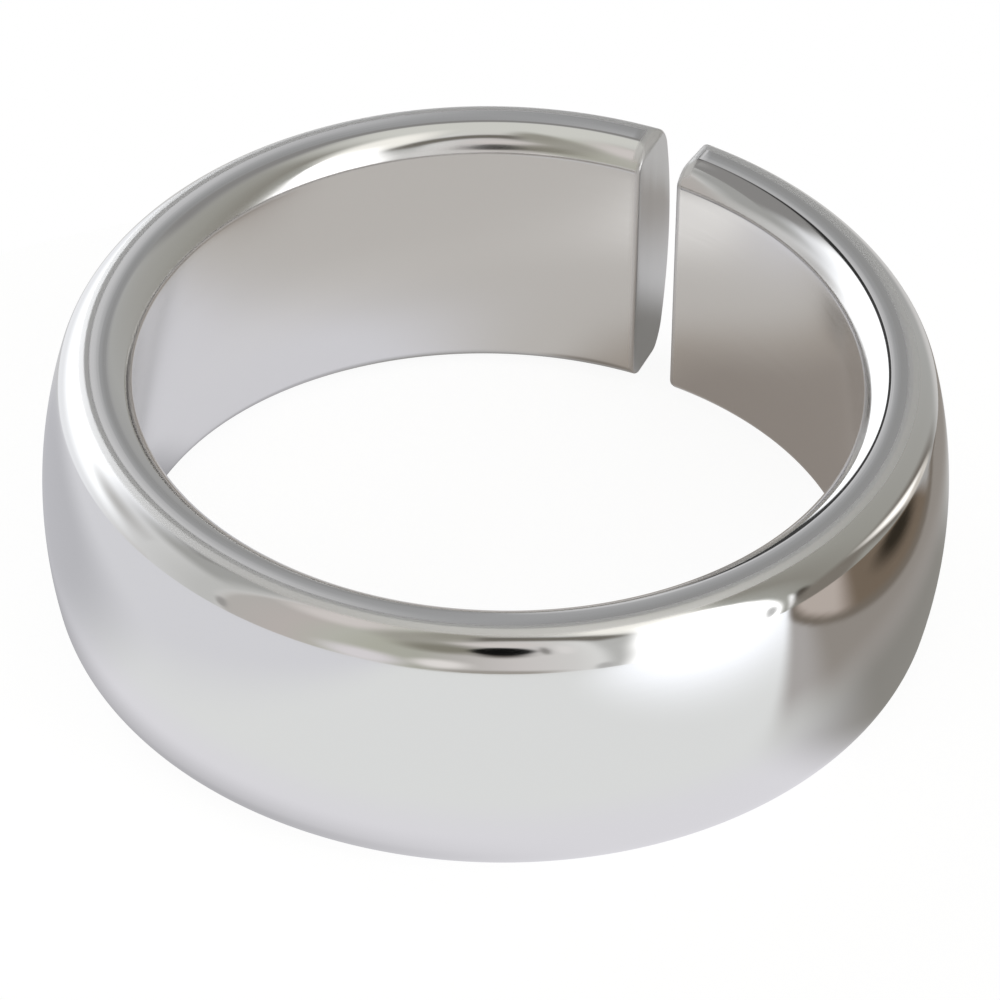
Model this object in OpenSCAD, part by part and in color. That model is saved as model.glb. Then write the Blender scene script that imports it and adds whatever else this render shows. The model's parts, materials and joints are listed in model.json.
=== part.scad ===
// Open finger ring: a D-section band bent into a circle, with one split.
// It lies on its lower rim, so the axis of the bore is Z and the split faces +Y.
// All lengths are millimetres.

/* [Band] */
// Inside diameter of the bore
bore_d = 19.5; // [16:0.1:23]
// Width of the band, rim to rim
band_w = 8; // [6:0.5:9]
// Greatest thickness, at the crown of the dome
crown_t = 2.4; // [2.1:0.1:2.8]
// Radius of the domed outside, seen in the cross-section
dome_r = 13.55; // [10:0.05:25]
// Width of the flat rim, between the comfort edge and the shoulder
rim_w = 0.6; // [0.2:0.05:1]

/* [Edges] */
// Radius of the shoulder, which leads from the dome to a crease at the rim
shoulder_r = 1.4; // [0.8:0.05:2.2]
// Radius of the comfort edge, which leads from the rim into the bore
comfort_r = 1.3; // [0.8:0.05:2]
// How far the comfort edge reaches across the top of the band
comfort_across = 0.7; // [0.45:0.05:0.9]
// How far the comfort edge reaches down the bore wall
comfort_down = 0.56; // [0.4:0.02:0.8]

/* [Split] */
// Angle left open between the two ends, degrees
split_deg = 6.4; // [4:0.1:20]
// Radius on the upper and lower corner of each end
end_r = 0.3; // [0.15:0.05:0.8]

/* [Part] */
// Which part to build

/* [Hidden] */
$fn = 180;

bore_r = bore_d / 2;
half_w = band_w / 2;
outer_r = bore_r + crown_t;
// How far the shapes that trim or cut the band reach past it
margin = 1;

// Section points of the upper half: top of the bore wall, both edges of the flat rim
wall_top = [bore_r, half_w - comfort_down];
rim_in = [bore_r + comfort_across, half_w];
rim_out = rim_in + [rim_w, 0];

// How far the shoulder's disc reaches past the dome, so that their arcs cross instead of only touching
overlap = 0.0002;
// The dome's centre is on the middle plane. The shoulder all but touches the dome and crosses the rim's plane.
dome_c = [outer_r - dome_r, 0];
shoulder_c = meeting(dome_c, dome_r - shoulder_r + overlap, rim_out, shoulder_r);
// The comfort edge's arc crosses the bore wall and the rim's plane
comfort_c = meeting(wall_top, comfort_r, rim_in, comfort_r);
// A point outside the band, in line with the centres of the dome and the shoulder
beyond = shoulder_c + 2 * shoulder_r * (shoulder_c - dome_c) / norm(shoulder_c - dome_c);

// Where two circles meet, on the right of the line from the first centre to the second
function meeting(c1, r1, c2, r2) =
    let(
        gap = norm(c2 - c1),
        ahead = (c2 - c1) / gap,
        along = (gap * gap + r1 * r1 - r2 * r2) / (2 * gap),
        aside = sqrt(r1 * r1 - along * along)
    )
    c1 + along * ahead + aside * [ahead[1], -ahead[0]];

// Rounded metal of the upper shoulder, from the dome on past the rim's plane
module upper_shoulder() {
    intersection() {
        translate(shoulder_c) circle(r = shoulder_r);
        polygon([
            shoulder_c,
            beyond,
            [beyond[0], half_w + margin],
            [shoulder_c[0], half_w + margin]
        ]);
    }
}

// Everything inside both shoulders, before the dome, the rims and the bore wall trim it
module shoulders() {
    polygon([
        [bore_r - margin, -half_w - margin],
        [shoulder_c[0], -half_w - margin],
        [shoulder_c[0], -shoulder_c[1]],
        [beyond[0], -beyond[1]],
        beyond,
        shoulder_c,
        [shoulder_c[0], half_w + margin],
        [bore_r - margin, half_w + margin]
    ]);
    upper_shoulder();
    mirror([0, 1]) upper_shoulder();
}

// What comes off the upper corner at the bore, outside the comfort edge's arc
module comfort_cut() {
    difference() {
        translate([bore_r - margin, comfort_c[1]]) square([comfort_c[0] - bore_r + margin, half_w]);
        translate(comfort_c) circle(r = comfort_r);
    }
}

// Cross-section of the band, with the bore on the left
module section() {
    difference() {
        intersection() {
            shoulders();
            translate(dome_c) circle(r = dome_r);
            translate([bore_r, -half_w]) square([2 * crown_t, band_w]);
        }
        comfort_cut();
        mirror([0, 1]) comfort_cut();
    }
}

// What comes off the upper corner of an end whose flat face is at Y = 0 and metal on +Y
module corner_cut() {
    translate([bore_r - margin, 0, 0])
    rotate([90, 0, 90])
    linear_extrude(crown_t + 2 * margin)
    difference() {
        translate([-margin, half_w - end_r]) square([end_r + margin, end_r + margin]);
        translate([end_r, half_w - end_r]) circle(r = end_r);
    }
}

module end_cuts() {
    corner_cut();
    mirror([0, 0, 1]) corner_cut();
}

module band() {
    color([0.80, 0.80, 0.78])
    translate([0, 0, half_w])
    difference() {
        rotate([0, 0, 90 + split_deg / 2])
        rotate_extrude(angle = 360 - split_deg)
        section();
        rotate([0, 0, 90 + split_deg / 2]) end_cuts();
        rotate([0, 0, 90 - split_deg / 2]) mirror([0, 1, 0]) end_cuts();
    }
}

band();
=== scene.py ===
"""Polished open ring on a white card, in a small photo studio.

Metres, with +Z up the bore's axis and the split at +Y.
"""
import json

import bmesh
import bpy
from math import asin, cos, degrees, pi, radians, sin, sqrt
from mathutils import Matrix, Vector


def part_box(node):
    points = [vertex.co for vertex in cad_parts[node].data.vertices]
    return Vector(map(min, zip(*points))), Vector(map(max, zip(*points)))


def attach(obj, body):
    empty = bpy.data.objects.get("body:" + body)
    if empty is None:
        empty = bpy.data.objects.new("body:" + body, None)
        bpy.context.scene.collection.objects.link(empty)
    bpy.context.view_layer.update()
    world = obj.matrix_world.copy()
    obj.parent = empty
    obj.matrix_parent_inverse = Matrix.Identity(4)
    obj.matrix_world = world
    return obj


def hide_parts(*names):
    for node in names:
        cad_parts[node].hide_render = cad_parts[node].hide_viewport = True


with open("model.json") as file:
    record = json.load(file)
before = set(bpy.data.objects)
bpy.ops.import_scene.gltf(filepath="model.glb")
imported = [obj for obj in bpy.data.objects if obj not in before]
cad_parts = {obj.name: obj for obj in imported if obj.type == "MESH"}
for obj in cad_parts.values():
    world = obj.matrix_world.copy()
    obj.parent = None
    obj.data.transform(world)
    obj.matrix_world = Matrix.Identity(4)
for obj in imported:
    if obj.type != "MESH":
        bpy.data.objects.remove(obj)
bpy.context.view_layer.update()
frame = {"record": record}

MM = 0.001

# Sizes of the band. The bore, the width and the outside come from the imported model. The edges are finer here.
band_low, band_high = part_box("band")
BORE_RADIUS = next(m for m in frame["record"]["mounts"] if m["name"] == "finger_bore")["dims"]["r_mm"] * MM
HALF_WIDTH = (band_high[2] - band_low[2]) / 2
GREATEST_RADIUS = band_high[0]
DOME_RADIUS = 13.54 * MM
SHOULDER_RADIUS = 1.4 * MM
COMFORT_RADIUS = 1.3 * MM
RIM_EDGE_RADIUS = 0.14 * MM
COMFORT_EDGE_RADIUS = 0.33 * MM
SPLIT_ANGLE = radians(6.4)
END_CORNER = 0.3 * MM
END_SOFTENING = 0.09 * MM

# Where the camera stands, opposite the split and turned aside, and how the ring sits in its picture. The lens
# and the sensor's width are in millimetres, the distances in metres.
CAMERA_AZIMUTH = radians(25.3)
CAMERA_ELEVATION = radians(39.37)
CAMERA_ROLL = radians(1.59)
CAMERA_DISTANCE = 0.448
CAMERA_LENS = 601.9
CAMERA_SENSOR = 36
CAMERA_NEAREST = 0.01
CAMERA_FARTHEST = 10
CAMERA_RIGHT = 0.117 * MM
CAMERA_DOWN = 0.561 * MM

# The silver's colours, its roughness everywhere, and what each cause adds to the roughness where it acts
OUTSIDE_SILVER = (0.88, 0.878, 0.872)
# The bore's and the ends' darker silver is painted shade inside the ring and in the split
BORE_SILVER = (0.85, 0.842, 0.832)
END_SILVER = (0.80, 0.795, 0.79)
POLISHED = 0.04
SMUDGED = 0.04
WHEEL_MARKED = 0.02
WHEEL_MARKED_IN_BORE = 0.07
SATIN_IN_BORE = 0.09
SATIN_ON_ENDS = 0.22
WORN = 0.42

# Its fine relief, in millimetres: the height of the slow waves and of the wheel's marks, and how far a rim
# would fall off a millimetre from its middle
WAVE_RELIEF = 0.012
MARK_RELIEF = 0.0006
RIM_FALL = 0.04

# The round white card under the ring, in millimetres from the bore's axis as the camera faces it
CARD_RADIUS = 30
CARD_TOWARDS_CAMERA = 12.5
CARD_SIDES = 96

# How the card looks to the camera: the paper's colour, its share, and the even glow that makes up the rest
CARD_PAPER = 0.9
CARD_PAPER_SHARE = 0.2
CARD_GLOW = 1.13


class Term:
    """The output of a node, which can be used in sums: each operator adds one Math node."""

    def __init__(self, net, socket):
        self.net = net
        self.socket = socket

    def math(self, operation, *others):
        return self.net.math(operation, self, *others)

    def __add__(self, other):
        return self.math("ADD", other)

    def __sub__(self, other):
        return self.math("SUBTRACT", other)

    def __mul__(self, other):
        return self.math("MULTIPLY", other)

    def __truediv__(self, other):
        return self.math("DIVIDE", other)

    def __radd__(self, other):
        return self.net.math("ADD", other, self)

    def __rsub__(self, other):
        return self.net.math("SUBTRACT", other, self)

    def __rmul__(self, other):
        return self.net.math("MULTIPLY", other, self)

    def __rtruediv__(self, other):
        return self.net.math("DIVIDE", other, self)

    def __neg__(self):
        return self.math("MULTIPLY", -1.0)

    def __abs__(self):
        return self.math("ABSOLUTE")


class Net:
    """A node tree, and the one method that adds any node to it."""

    def __init__(self, tree):
        self.tree = tree

    def add(self, kind, settings=None, values=None, out=0):
        """Adds a node. Its settings are set first, then its sockets get their values or links."""
        made = self.tree.nodes.new(kind)
        for name, value in (settings or {}).items():
            if name == "stops":
                self.stops(made.color_ramp, value)
            else:
                setattr(made, name, value)
        for name, value in (values or {}).items():
            if isinstance(value, Term):
                self.tree.links.new(value.socket, made.inputs[name])
            else:
                made.inputs[name].default_value = value
        return Term(self, made.outputs[out]) if made.outputs else None

    def stops(self, ramp, stops):
        """Gives a colour ramp its places and their colours."""
        while len(ramp.elements) < len(stops):
            ramp.elements.new(1.0)
        for element, (place, colour) in zip(ramp.elements, stops):
            element.position = place
            element.color = (*colour, 1.0)

    def math(self, operation, *values):
        return self.add("ShaderNodeMath", {"operation": operation}, dict(enumerate(values)))

    def limit(self, value):
        """The value kept between 0 and 1."""
        return self.add("ShaderNodeClamp", None, {"Value": value})

    def ease(self, value, start, end):
        """0 before start and 1 after end, with a soft passage between them. Start may be the greater."""
        low, high, first, last = (start, end, 0.0, 1.0) if start < end else (end, start, 1.0, 0.0)
        return self.add(
            "ShaderNodeMapRange",
            {"interpolation_type": "SMOOTHSTEP"},
            {"Value": value, "From Min": low, "From Max": high, "To Min": first, "To Max": last},
        )

    def blend(self, share, first, second):
        """From the first colour at 0 to the second at 1."""
        pair = {0: share, 6: first, 7: second}
        for place in (6, 7):
            if not isinstance(pair[place], Term):
                pair[place] = (*pair[place], 1.0)
        return self.add("ShaderNodeMix", {"data_type": "RGBA"}, pair, out=2)

    def parts(self, vector):
        """The X, Y and Z of a vector."""
        made = self.add("ShaderNodeSeparateXYZ", None, {0: vector}).socket.node
        return [Term(self, socket) for socket in made.outputs]

    def joined(self, x, y, z):
        return self.add("ShaderNodeCombineXYZ", None, {0: x, 1: y, 2: z})

    def cloud(self, place, scale, detail):
        """Soft noise from 0 to 1 at a place in space."""
        return self.add("ShaderNodeTexNoise", None, {"Vector": place, "Scale": scale, "Detail": detail})


# The band, as a Geometry Nodes tree

# Its half section is walked twice: from the rim outwards to the crown, and from the rim inwards to the
# middle of the bore wall. The angles are the normal's: 90 is straight up on the rim, 0 straight out and
# 180 towards the axis.
UPWARDS = pi / 2
INWARDS = pi
DOME_ANGLE = radians(13.06)
COMFORT_TOP_ANGLE = radians(111.7)
COMFORT_FOOT_ANGLE = radians(144)

# Steps of the mesh on each stretch of the section. Both walks take the same number in all.
EDGE_STEPS = 5
SHOULDER_STEPS = 20
DOME_STEPS = 16
COMFORT_STEPS = 18
WALL_STEPS = SHOULDER_STEPS + DOME_STEPS - EDGE_STEPS - COMFORT_STEPS

# Steps across a rim and an end's flat face
RIM_STEPS = 2
FACE_STEPS = 6

# Steps along the band: over an end's softened edge, in the passage from there to even steps, and round half
# of the ring
SOFT_STEPS = 7
PASSAGE_STEPS = 5
ROUND_STEPS = 165

# How far from the nearer end the passage reaches, and the distance within which points are merged
PASSAGE_ANGLE = radians(6)
WELD = 0.001 * MM

# Where the shoulder's arc, tangent to the dome, meets the rim's rounded edge, how far the rim reaches, and
# where the bore wall ends
SHOULDER_OUT = GREATEST_RADIUS - DOME_RADIUS + (DOME_RADIUS - SHOULDER_RADIUS) * cos(DOME_ANGLE)
SHOULDER_UP = (DOME_RADIUS - SHOULDER_RADIUS) * sin(DOME_ANGLE)
SHOULDER_EXCESS = SHOULDER_RADIUS - RIM_EDGE_RADIUS
SHOULDER_ANGLE = asin((HALF_WIDTH - RIM_EDGE_RADIUS - SHOULDER_UP) / SHOULDER_EXCESS)
RIM_OUTSIDE = SHOULDER_OUT + SHOULDER_EXCESS * cos(SHOULDER_ANGLE)
COMFORT_EXCESS = COMFORT_RADIUS - COMFORT_EDGE_RADIUS
COMFORT_REACH = COMFORT_EXCESS * (cos(COMFORT_TOP_ANGLE) - cos(COMFORT_FOOT_ANGLE))
COMFORT_DROP = COMFORT_EXCESS * (sin(COMFORT_TOP_ANGLE) - sin(COMFORT_FOOT_ANGLE))
RIM_INSIDE = BORE_RADIUS + COMFORT_EDGE_RADIUS + COMFORT_REACH
WALL_TOP = HALF_WIDTH - COMFORT_EDGE_RADIUS - COMFORT_DROP

SIZES = {
    "Half width": HALF_WIDTH,
    "Rim inside": RIM_INSIDE,
    "Rim outside": RIM_OUTSIDE,
    "Rim edge radius": RIM_EDGE_RADIUS,
    "Shoulder radius": SHOULDER_RADIUS,
    "Dome radius": DOME_RADIUS,
    "Comfort radius": COMFORT_RADIUS,
    "Comfort edge radius": COMFORT_EDGE_RADIUS,
    "Wall height": WALL_TOP,
    "Split angle": SPLIT_ANGLE,
    "End corner": END_CORNER,
    "End softening": END_SOFTENING,
}


def stroll(net, step, start, arcs):
    """Radius and height at a step of a walk over arcs, each a radius, first and last normal, and steps."""
    radius, height = start
    done = 0
    for bend, first, last, steps in arcs:
        normal = first + net.limit((step - done) / steps) * (last - first)
        radius = radius + bend * (net.math("COSINE", normal) - cos(first))
        height = height + bend * (net.math("SINE", normal) - sin(first))
        done += steps
    return radius, height


def named_size(tree, name, value):
    """A named input of a Geometry Nodes tree. Its identifier sets it on the modifier."""
    socket = tree.interface.new_socket(name=name, in_out="INPUT", socket_type="NodeSocketFloat")
    socket.default_value = value
    return socket.identifier


def open_band_tree(silver):
    """A tree that lays the band out flat in steps, and then bends it into the open ring."""
    tree = bpy.data.node_groups.new("open band", "GeometryNodeTree")
    identifiers = {name: named_size(tree, name, value) for name, value in SIZES.items()}
    tree.interface.new_socket(name="Band", in_out="OUTPUT", socket_type="NodeSocketGeometry")
    net = Net(tree)
    given = net.add("NodeGroupInput").socket.node
    size = {name: Term(net, given.outputs[name]) for name in SIZES}

    half = EDGE_STEPS + SHOULDER_STEPS + DOME_STEPS
    levels = 2 * half
    girth = 2 * (levels + RIM_STEPS)
    length = 2 * (SOFT_STEPS + PASSAGE_STEPS + ROUND_STEPS)

    # Flat layout: X is the level across the width from -half to half, Y goes from 0 at the bore to 1
    # outside, and Z counts the steps along the band from its first end
    skin = net.add(
        "GeometryNodeMeshGrid",
        None,
        {"Size X": length, "Size Y": girth, "Vertices X": length + 1, "Vertices Y": girth + 1},
    )
    along, about, _ = net.parts(net.add("GeometryNodeInputPosition"))
    along = net.math("ROUND", along + length / 2)
    about = net.math("ROUND", about + girth / 2)
    up = net.math("MINIMUM", about, levels)
    down = net.math("MAXIMUM", net.math("MINIMUM", about - levels - RIM_STEPS, levels), 0.0)
    level = up - down - half
    over = net.limit((about - levels) / RIM_STEPS)
    under = net.limit((about - girth + RIM_STEPS) / RIM_STEPS)
    outward = 1 - over + under
    laid_out = net.joined(level, outward, along)
    skin = net.add("GeometryNodeSetPosition", None, {"Geometry": skin, "Position": laid_out})
    face = net.add(
        "GeometryNodeMeshGrid",
        None,
        {"Size X": levels, "Size Y": 1.0, "Vertices X": levels + 1, "Vertices Y": FACE_STEPS + 1},
    )
    first_face = net.add("GeometryNodeTransform", None, {"Geometry": face, "Translation": (0.0, 0.5, 0.0)})
    last_face = net.add("GeometryNodeTransform", None, {"Geometry": face, "Translation": (0.0, 0.5, length)})
    flat = net.add("GeometryNodeJoinGeometry")
    for piece in (skin, first_face, last_face):
        tree.links.new(piece.socket, flat.socket.node.inputs[0])

    # The section at a level, at a depth under the surface that grows over an end's softened edge
    level, outward, along = net.parts(net.add("GeometryNodeInputPosition"))
    near = net.math("MINIMUM", along, length - along)
    turned = (1 - net.limit(near / SOFT_STEPS)) * (pi / 2)
    soft = size["End softening"]
    depth = soft * (1 - net.math("COSINE", turned))
    step = half - abs(level)
    top = size["Half width"] - depth
    comfort_edge = size["Comfort edge radius"] - depth
    outer_r, outer_z = stroll(
        net,
        step,
        (size["Rim outside"], top),
        (
            (size["Rim edge radius"] - depth, UPWARDS, SHOULDER_ANGLE, EDGE_STEPS),
            (size["Shoulder radius"] - depth, SHOULDER_ANGLE, DOME_ANGLE, SHOULDER_STEPS),
            (size["Dome radius"] - depth, DOME_ANGLE, 0.0, DOME_STEPS),
        ),
    )
    inner_r, inner_z = stroll(
        net,
        step,
        (size["Rim inside"], top),
        (
            (comfort_edge, UPWARDS, COMFORT_TOP_ANGLE, EDGE_STEPS),
            (size["Comfort radius"] - depth, COMFORT_TOP_ANGLE, COMFORT_FOOT_ANGLE, COMFORT_STEPS),
            (comfort_edge, COMFORT_FOOT_ANGLE, INWARDS, EDGE_STEPS),
        ),
    )
    inner_z = inner_z - size["Wall height"] * net.limit((step - half + WALL_STEPS) / WALL_STEPS)
    radius = inner_r + (outer_r - inner_r) * outward
    height = inner_z + (outer_z - inner_z) * outward

    # How far each point stays back from the plane of the nearer end, and its angle round the ring
    corner = size["End corner"]
    past = net.math("MAXIMUM", height - (size["Half width"] - corner), 0.0)
    kept = net.math("SQRT", net.math("MAXIMUM", corner * corner - past * past, 0.0))
    back = soft * (1 - net.math("SINE", turned)) + corner - kept
    passage = net.limit((near - SOFT_STEPS) / PASSAGE_STEPS)
    steady = net.limit((near - SOFT_STEPS - PASSAGE_STEPS) / ROUND_STEPS)
    back = back * (1 - passage) + radius * sin(PASSAGE_ANGLE) * passage
    half_split = size["Split angle"] / 2
    angle = half_split + net.math("ARCSINE", back / radius) + (pi - PASSAGE_ANGLE - half_split) * steady
    side = net.math("SIGN", length / 2 - along)
    bent = net.joined(
        radius * net.math("SINE", angle) * side,
        radius * net.math("COSINE", angle),
        size["Half width"] + height * net.math("SIGN", level),
    )
    ring = net.add("GeometryNodeSetPosition", None, {"Geometry": flat, "Position": bent})
    ring = net.add("GeometryNodeMergeByDistance", None, {"Geometry": ring, "Distance": WELD})
    ring = net.add("GeometryNodeRealizeInstances", None, {"Geometry": ring})
    ring = net.add("GeometryNodeSetMaterial", None, {"Geometry": ring, "Material": silver})
    net.add("NodeGroupOutput", None, {"Band": ring})
    return tree, identifiers


def open_band(silver):
    """The band as a plain, closed mesh with its faces outwards."""
    tree, identifiers = open_band_tree(silver)
    carrier = bpy.data.objects.new("band layout", bpy.data.meshes.new("band layout"))
    bpy.context.scene.collection.objects.link(carrier)
    modifier = carrier.modifiers.new("open band", "NODES")
    modifier.node_group = tree
    for name, identifier in identifiers.items():
        modifier[identifier] = SIZES[name]
    view = bpy.context.evaluated_depsgraph_get()
    mesh = bpy.data.meshes.new_from_object(carrier.evaluated_get(view))
    carrier.modifiers.remove(modifier)
    bpy.data.objects.remove(carrier)
    shape = bmesh.new()
    shape.from_mesh(mesh)
    bmesh.ops.recalc_face_normals(shape, faces=shape.faces)
    for polygon in shape.faces:
        polygon.smooth = True
    shape.to_mesh(mesh)
    shape.free()
    band = bpy.data.objects.new("polished_band", mesh)
    bpy.context.scene.collection.objects.link(band)
    return band


def polished_silver():
    """Hand-polished silver: mirror-bright outside, a softer sheen in the bore and on the two ends, which are
    also a darker silver there as painted shade.
    """
    material = bpy.data.materials.new("polished silver")
    material.use_nodes = True
    material.node_tree.nodes.clear()
    net = Net(material.node_tree)

    # Places and distances are in millimetres from here on
    place = net.add("ShaderNodeTexCoord", None, None, "Object")
    place = net.add("ShaderNodeVectorMath", {"operation": "SCALE"}, {0: place, "Scale": 1 / MM})
    x, y, z = net.parts(place)
    radius = net.math("SQRT", x * x + y * y)
    round_the_band = net.math("ARCTAN2", -x, -y) * radius

    # The bore wall, and the flat faces of the two ends by the distance from the nearer one, both a darker
    # silver as painted shade
    bore = net.ease(radius, 10.0, 9.8)
    split_side = net.ease(y, 0.0, 1.0)
    to_end = abs(x) * cos(SPLIT_ANGLE / 2) - y * sin(SPLIT_ANGLE / 2)
    end = net.ease(to_end, 0.16, 0.1) * split_side
    colour = net.blend(bore, OUTSIDE_SILVER, BORE_SILVER)
    colour = net.blend(end, colour, END_SILVER)

    # Fine marks of the polishing wheel run round the band, smudges from handling lie over them
    wheel_marks = net.cloud(net.joined(round_the_band * 0.12, radius * 7, z * 7), 1.0, 2.0)
    smudges = net.cloud(place, 0.4, 3.0)

    # The crease just past the outside of each rim and the corners of the two ends are worn softer
    from_middle = abs(z - HALF_WIDTH / MM)
    from_crease = abs(radius - RIM_OUTSIDE / MM - 0.06)
    crease = net.ease(from_crease, 0.2, 0.1) * net.ease(from_middle, 3.8, 3.9)
    corner = net.ease(to_end, 0.34, 0.24) * split_side * net.ease(from_middle, 3.6, 3.75)
    worn = net.math("MAXIMUM", crease, corner)
    rough = POLISHED + smudges * SMUDGED + wheel_marks * (WHEEL_MARKED + bore * WHEEL_MARKED_IN_BORE)
    rough = rough + bore * SATIN_IN_BORE + end * SATIN_ON_ENDS + worn * WORN

    # The metal is slightly wavy, and each rim very slightly rounded across its width
    rim_middle = (RIM_INSIDE + RIM_OUTSIDE) / 2 / MM
    rim_reach = (RIM_OUTSIDE - RIM_INSIDE) / 2 / MM
    across_rim = net.math("MINIMUM", abs(radius - rim_middle), rim_reach)
    relief = net.cloud(place, 0.22, 0.0) * WAVE_RELIEF - across_rim * across_rim * RIM_FALL
    wavy = net.add("ShaderNodeBump", None, {"Strength": 1.0, "Distance": MM, "Height": relief})
    marked = net.add(
        "ShaderNodeBump",
        None,
        {"Strength": 1.0, "Distance": MARK_RELIEF * MM, "Height": wheel_marks, "Normal": wavy},
    )
    surface = net.add(
        "ShaderNodeBsdfPrincipled",
        None,
        {"Base Color": colour, "Metallic": 1.0, "Roughness": rough, "Normal": marked},
    )
    net.add("ShaderNodeOutputMaterial", None, {"Surface": surface})
    return material


def facing(net, vector, scale=1.0):
    """A place or direction as the camera faces it: X to its right, Y away from it, Z up."""
    x, y, z = net.parts(vector)
    c, s = cos(CAMERA_AZIMUTH) * scale, sin(CAMERA_AZIMUTH) * scale
    return x * c + y * s, y * c - x * s, z * scale


class Paint:
    """A plane that is painted feature by feature, each a soft shape in its own colour over what is there."""

    def __init__(self, net, across, up, colour):
        self.net = net
        self.across = across
        self.up = up
        self.colour = colour

    def over(self, share, colour):
        """Paints a colour over what is there, where its share is above 0."""
        self.colour = self.net.blend(share, self.colour, colour)

    def beyond(self, first, second, soft):
        """From 0 on the left of a line, walked from its first place to its second, to 1 on its right."""
        run = (second[0] - first[0], second[1] - first[1])
        size = sqrt(run[0] ** 2 + run[1] ** 2)
        past = (self.across - first[0]) * (run[1] / size) - (self.up - first[1]) * (run[0] / size)
        return self.net.ease(past, -soft / 2, soft / 2)

    def away(self, middle, wide, tall, lean=0.0):
        """Distance from an oval's middle, 1 on its outline. A lean moves it across as it goes up."""
        rise = self.up - middle[1]
        run = (self.across - middle[0] - rise * lean) / wide
        rise = rise / tall
        return self.net.math("SQRT", run * run + rise * rise)

    def oval_share(self, middle, wide, tall, soft, lean=0.0):
        """1 in an oval and 0 outside it, with a soft outline."""
        return self.net.ease(self.away(middle, wide, tall, lean), 1 + soft, 1 - soft)

    def oval(self, middle, wide, tall, colour, soft, lean=0.0):
        """Paints an oval with a soft outline."""
        self.over(self.oval_share(middle, wide, tall, soft, lean), colour)


def card_shades(net, x, y):
    """What the silver picks up from the card, by its place in millimetres: painted light and shade, which the
    card gives off as its own glow.
    """
    card = Paint(net, x, y, (0.775, 0.785, 0.785))
    from_axis = net.math("SQRT", x * x + y * y)

    # Cooler close to the ring and on the left, with a grey patch there, a painted pool of light in front on the
    # right, and painted shade behind the ring
    card.over(net.ease(from_axis, 15, 12.5), (0.765, 0.757, 0.797))
    card.over(net.ease(x, -10, -18), (0.70, 0.70, 0.735))
    card.oval((-15.3, 3), 4.8, 7.5, (0.52, 0.52, 0.55), 0.5)
    card.oval((27, -26), 12, 13, (1.32, 1.35, 1.43), 0.65)
    card.over(net.ease(y, 8, 11), (0.59, 0.59, 0.60))

    # Shade to the right of the ring: dark close by it, and farther out, where its front edge is lighter
    close_shade = net.ease(x, 8.5, 11) * net.ease(y, -11.5, -4.5) * net.ease(y, 9, 1.5)
    card.over(close_shade, (0.265, 0.255, 0.235))
    front_edge = card.beyond((25, -13.5), (8, -9.2), 1.4) * net.ease(x, 7, 10)
    shade = front_edge * net.ease(from_axis, 13.5, 17.5)
    card.over(shade, (0.42, 0.40, 0.39))
    card.over(shade * card.beyond((25, -11), (8, -6.7), 2.5), (0.30, 0.275, 0.25))

    # A shape in the shade with a dark outline: brown, pale in front, grey at the back, and a dark spot in it
    outline = front_edge * net.ease(card.away((30.4, 1.3), 12.4, 16), 1.04, 0.98)
    card.over(outline, (0.18, 0.155, 0.13))
    inside = front_edge * net.ease(card.away((30.4, 1.3), 11.6, 14.8), 1.05, 0.94)
    card.over(inside, (0.18, 0.14, 0.105))
    card.over(inside * net.ease(y, -5, -8), (0.50, 0.44, 0.40))
    card.oval((23, 1), 2.1, 3.2, (0.03, 0.024, 0.017), 0.6)
    card.over(inside * net.ease(y, 4, 6), (0.40, 0.39, 0.38))

    # Inside the ring, painted shade: lighter on the left, darker at the back on the right, with a few soft
    # spots
    hole = net.ease(from_axis, 10.5, 9.5)
    card.over(hole, (0.54, 0.52, 0.50))
    card.over(hole * net.ease(from_axis, 5, 8) * net.ease(x, 1, -3), (0.70, 0.70, 0.74))
    card.over(hole * net.ease(x, 1, 3) * net.ease(y, 5, 7.5), (0.38, 0.345, 0.31))
    card.over(hole * card.oval_share((6.8, 6.6), 3.6, 3.4, 0.3), (0.29, 0.26, 0.235))
    card.over(hole * card.oval_share((3.2, 9.9), 1.8, 1.0, 0.4), (0.19, 0.17, 0.15))
    card.over(hole * card.oval_share((-3, 4.5), 2.2, 1.6, 0.5), (0.90, 0.89, 0.88))

    # The shade where the ring touches the card on the left, a dark spot inside the ring there, and the shade
    # behind the ring
    contact = net.ease(from_axis, 12.9, 11.5) * net.ease(from_axis, 9.2, 9.8) * net.ease(x, 4, -8)
    card.over(contact * 0.55, (0.24, 0.24, 0.25))
    card.oval((-7.6, 1.6), 2.4, 2.8, (0.09, 0.09, 0.095), 0.5)
    behind = net.ease(from_axis, 14.6, 12.6) * net.ease(from_axis, 9.6, 10.4) * net.ease(y, 8, 10)
    card.over(behind, (0.24, 0.235, 0.225))
    return card.colour


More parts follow.
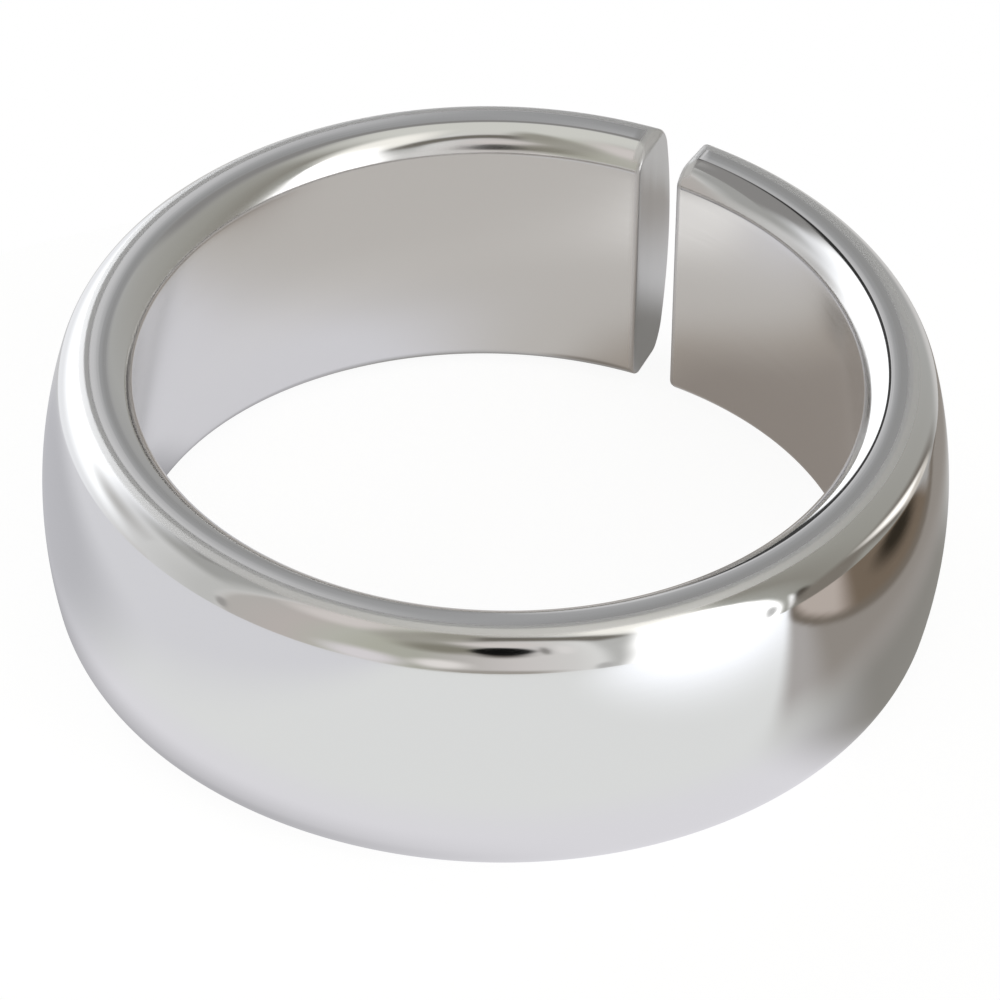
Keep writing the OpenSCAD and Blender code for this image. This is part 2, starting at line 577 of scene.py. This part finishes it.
def white_card():
    """The white card: even and bright to the camera, soft shades to what the silver picks up from it."""
    material = bpy.data.materials.new("white card")
    material.use_nodes = True
    material.node_tree.nodes.clear()
    net = Net(material.node_tree)
    x, y, _ = facing(net, net.add("ShaderNodeTexCoord", None, None, "Object"), 1 / MM)
    paper = net.add("ShaderNodeBsdfDiffuse", None, {"Color": (CARD_PAPER, CARD_PAPER, CARD_PAPER, 1.0)})
    even = net.add("ShaderNodeEmission", None, {"Color": (1.0, 1.0, 1.0, 1.0), "Strength": CARD_GLOW})
    lit = net.add("ShaderNodeMixShader", None, {0: CARD_PAPER_SHARE, 1: even, 2: paper})
    shades = net.add("ShaderNodeEmission", None, {"Color": card_shades(net, x, y)})
    seen = net.add("ShaderNodeLightPath", None, None, "Is Camera Ray")
    card_surface = net.add("ShaderNodeMixShader", None, {0: seen, 1: shades, 2: lit})
    net.add("ShaderNodeOutputMaterial", None, {"Surface": card_surface})

    shape = bmesh.new()
    middle = Vector((sin(CAMERA_AZIMUTH), -cos(CAMERA_AZIMUTH), 0)) * CARD_TOWARDS_CAMERA * MM
    turn = Matrix.Translation(middle)
    bmesh.ops.create_circle(shape, cap_ends=True, segments=CARD_SIDES, radius=CARD_RADIUS * MM, matrix=turn)
    mesh = bpy.data.meshes.new("white card")
    shape.to_mesh(mesh)
    shape.free()
    mesh.materials.append(material)
    card = bpy.data.objects.new("white_card", mesh)
    bpy.context.scene.collection.objects.link(card)


# Colours of the studio's walls, by the angle from the camera's right, anticlockwise seen from above
WALLS = (
    (-180, (0.66, 0.66, 0.66)),
    (-163, (0.55, 0.55, 0.54)),
    (-158, (0.55, 0.55, 0.54)),
    (-157, (0.66, 0.65, 0.64)),
    (-155, (0.48, 0.46, 0.44)),
    (-140, (0.51, 0.47, 0.45)),
    (-128, (0.49, 0.49, 0.44)),
    (-118, (0.45, 0.45, 0.39)),
    (-107, (0.43, 0.43, 0.38)),
    (-98, (0.50, 0.48, 0.46)),
    (-84, (0.62, 0.59, 0.58)),
    (-70, (0.68, 0.67, 0.66)),
    (-64, (0.76, 0.76, 0.75)),
    (-61, (0.50, 0.50, 0.49)),
    (-17, (0.36, 0.36, 0.33)),
    (-8, (0.27, 0.26, 0.23)),
    (10, (0.335, 0.33, 0.30)),
    (40, (0.385, 0.38, 0.36)),
    (60, (0.42, 0.42, 0.41)),
    (75, (0.36, 0.36, 0.36)),
    (89.4, (0.29, 0.29, 0.29)),
    (90.4, (0.37, 0.375, 0.385)),
    (91.2, (0.50, 0.50, 0.51)),
    (92.2, (0.60, 0.60, 0.61)),
    (98, (0.62, 0.62, 0.63)),
    (165, (0.72, 0.72, 0.73)),
    (180, (0.66, 0.66, 0.66)),
)


def ceiling(view):
    """The ceiling with a bright patch, darker walls high up, and the clutter over the lens with its boom."""
    net, turned, height = view.net, view.across, view.up
    view.over(net.ease(height, 58, 78), (0.66, 0.66, 0.62))
    left_wall = net.ease(abs(turned), 156, 168) * net.ease(height, 22, 36) * net.ease(height, 70, 56)
    view.over(left_wall, (0.38, 0.38, 0.37))
    back_wall = net.ease(turned, 20, 45) * net.ease(height, 40, 50) * net.ease(height, 74, 64)
    view.over(back_wall, (0.26, 0.255, 0.25))
    view.oval((-38, 62), 20, 14, (1.0, 0.98, 0.92), 0.5)
    view.oval((-140, 56), 16, 11, (0.66, 0.62, 0.60), 0.6)
    view.oval((-112, 52), 12, 12, (0.36, 0.35, 0.31), 0.6)
    view.oval((-104, 66), 12, 10, (0.32, 0.31, 0.27), 0.6)
    view.oval((-88, 50), 12, 4, (0.66, 0.62, 0.60), 0.6)
    boom = net.ease(abs(view.away((-83.5, 40.5), 29, 23) - 1), 0.3, 0.08)
    view.over(boom * net.ease(height, 42, 49) * net.ease(turned, -101, -91), (0.165, 0.155, 0.135))


def lens(view):
    """The dark lens with a haze beside it, and the low, pale things and thin uprights round it."""
    view.oval((-120, -4), 9, 12, (0.72, 0.69, 0.71), 0.6)
    view.oval((-101.5, 2), 6, 9, (0.80, 0.77, 0.75), 0.6)
    view.oval((-88, -11), 13, 5, (0.36, 0.34, 0.31), 0.5)
    view.oval((-156, -4), 1.5, 8, (0.34, 0.33, 0.32), 0.5)
    view.oval((-63.5, -9), 2, 7, (0.47, 0.465, 0.46), 0.5)
    view.oval((-102, 36), 11, 9, (0.24, 0.23, 0.19), 0.6)
    view.oval((-76, 36), 1.2, 8, (0.22, 0.21, 0.20), 0.5)
    view.oval((-71, 36), 2.2, 9, (0.75, 0.73, 0.72), 0.5)
    view.oval((-87, 29), 6, 6, (0.10, 0.09, 0.08), 0.7)
    view.oval((-87, 36.5), 8.5, 8.3, (0.005, 0.005, 0.005), 0.2)


def right_box(view):
    """The soft box in front on the right, with its thin dark frame."""
    box = view.beyond((-58, -30), (-55, 30), 8) * view.beyond((-55, 30), (-40, 65), 8)
    box = box * view.beyond((-22, 60), (-20, 30), 3)
    box = box * view.beyond((-20, 30), (-18.5, 5), 3) * view.beyond((-18.5, 5), (-18, -30), 2.5)
    view.over(box * view.net.ease(view.up, 64, 44), (1.7, 1.7, 1.7))
    view.oval((-21.5, -4), 1.6, 9, (0.55, 0.55, 0.55), 0.5)
    view.oval((-15.5, -4), 1.0, 11, (1.2, 1.2, 1.2), 0.5)
    view.oval((-12.5, -2), 2.4, 9, (0.06, 0.05, 0.04), 0.5)


def right_corner(view):
    """The dark corner of the room on the right, and the pale patch low in it."""
    net, turned, height = view.net, view.across, view.up
    view.oval((-4, -10), 11, 13, (0.21, 0.19, 0.165), 0.4)
    view.oval((25.5, -12), 13.5, 13, (0.14, 0.12, 0.10), 0.6, -1.1)
    view.oval((25, -12), 6, 11, (1.30, 1.26, 1.20), 0.6, -1.3)
    view.oval((34, -20), 6, 4, (0.62, 0.58, 0.53), 0.7, -0.6)
    view.over(net.ease(height, -8, -22) * net.ease(turned, 44, 64), (0.62, 0.61, 0.60))


def left_box(view):
    """The soft box behind the ring on the left, its dark frame and the pale glow under it."""
    net, turned, height = view.net, view.across, view.up
    edge = view.beyond((100, -60), (104, 0), 3) * view.beyond((104, 0), (112, 26), 3)
    edge = edge * view.beyond((112, 26), (130, 46), 4)
    frame_edge = view.beyond((96, -6), (96, 0), 2) * view.beyond((96, 0), (97.5, 26), 2.5)
    frame_edge = frame_edge * view.beyond((97.5, 26), (101, 45), 3)
    dark_frame = frame_edge * (1 - edge) * net.ease(height, -10, 0) * net.ease(height, 54, 48)
    view.over(dark_frame, (0.05, 0.05, 0.05))
    glow = edge * net.ease(height, -40, -25) * net.ease(height, 50, 40)
    view.over(glow * net.ease(turned, 180, 150), (0.88, 0.89, 0.92))
    box = edge * view.beyond((144, 54), (165, 0), 20) * net.ease(height, -18, 4) * net.ease(height, 52, 42)
    view.over(box, (1.35, 1.37, 1.40))
    view.oval((112, 49), 14, 6, (0.03, 0.03, 0.03), 0.4)
    view.oval((168, 12), 10, 8, (0.52, 0.515, 0.51), 1.0)


def studio():
    """What the silver mirrors, by the angle round from the camera's right and the height, in degrees."""
    world = bpy.data.worlds.new("studio")
    bpy.context.scene.world = world
    world.use_nodes = True
    world.node_tree.nodes.clear()
    net = Net(world.node_tree)
    x, y, z = facing(net, net.add("ShaderNodeTexCoord", None, None, "Generated"))
    turned = net.math("ARCTAN2", y, x) * degrees(1)
    height = net.math("ARCSINE", z) * degrees(1)
    walls = tuple(((angle + 180) / 360, colour) for angle, colour in WALLS)
    light = net.add("ShaderNodeValToRGB", {"stops": walls}, {"Fac": (turned + 180) / 360})
    view = Paint(net, turned, height, light)
    ceiling(view)
    lens(view)
    right_box(view)
    right_corner(view)
    left_box(view)
    # Low down, past the card's edge, everything is an even grey
    view.over(net.ease(height, -30, -36), (0.60, 0.60, 0.60))
    mirrored = net.add("ShaderNodeBackground", None, {"Color": view.colour})
    backdrop = net.add("ShaderNodeBackground", None, {"Color": (1.0, 1.0, 1.0, 1.0)})
    seen = net.add("ShaderNodeLightPath", None, None, "Is Camera Ray")
    sky = net.add("ShaderNodeMixShader", None, {0: seen, 1: mirrored, 2: backdrop})
    net.add("ShaderNodeOutputWorld", None, {"Surface": sky})
    world.cycles.sampling_method = "NONE"


def camera():
    """High in front of the ring and slightly rolled, with the ring close to the middle of its picture."""
    data = bpy.data.cameras.new("camera")
    data.lens = CAMERA_LENS
    data.sensor_width = CAMERA_SENSOR
    data.clip_start = CAMERA_NEAREST
    data.clip_end = CAMERA_FARTHEST
    level = cos(CAMERA_ELEVATION)
    back = Vector((sin(CAMERA_AZIMUTH) * level, -cos(CAMERA_AZIMUTH) * level, sin(CAMERA_ELEVATION)))
    level_right = Vector((cos(CAMERA_AZIMUTH), sin(CAMERA_AZIMUTH), 0))
    level_up = back.cross(level_right)
    right = cos(CAMERA_ROLL) * level_right + sin(CAMERA_ROLL) * level_up
    up = cos(CAMERA_ROLL) * level_up - sin(CAMERA_ROLL) * level_right
    middle = Vector((0, 0, HALF_WIDTH))
    stand = bpy.data.objects.new("camera", data)
    place = middle + back * CAMERA_DISTANCE + right * CAMERA_RIGHT - up * CAMERA_DOWN
    turn = Matrix((right, up, back)).transposed().to_4x4()
    stand.matrix_world = Matrix.Translation(place) @ turn
    bpy.context.scene.collection.objects.link(stand)
    bpy.context.scene.camera = stand


band = open_band(polished_silver())
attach(band, "root")
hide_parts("band")
white_card()
studio()
camera()
bpy.context.scene.view_settings.view_transform = "Standard"
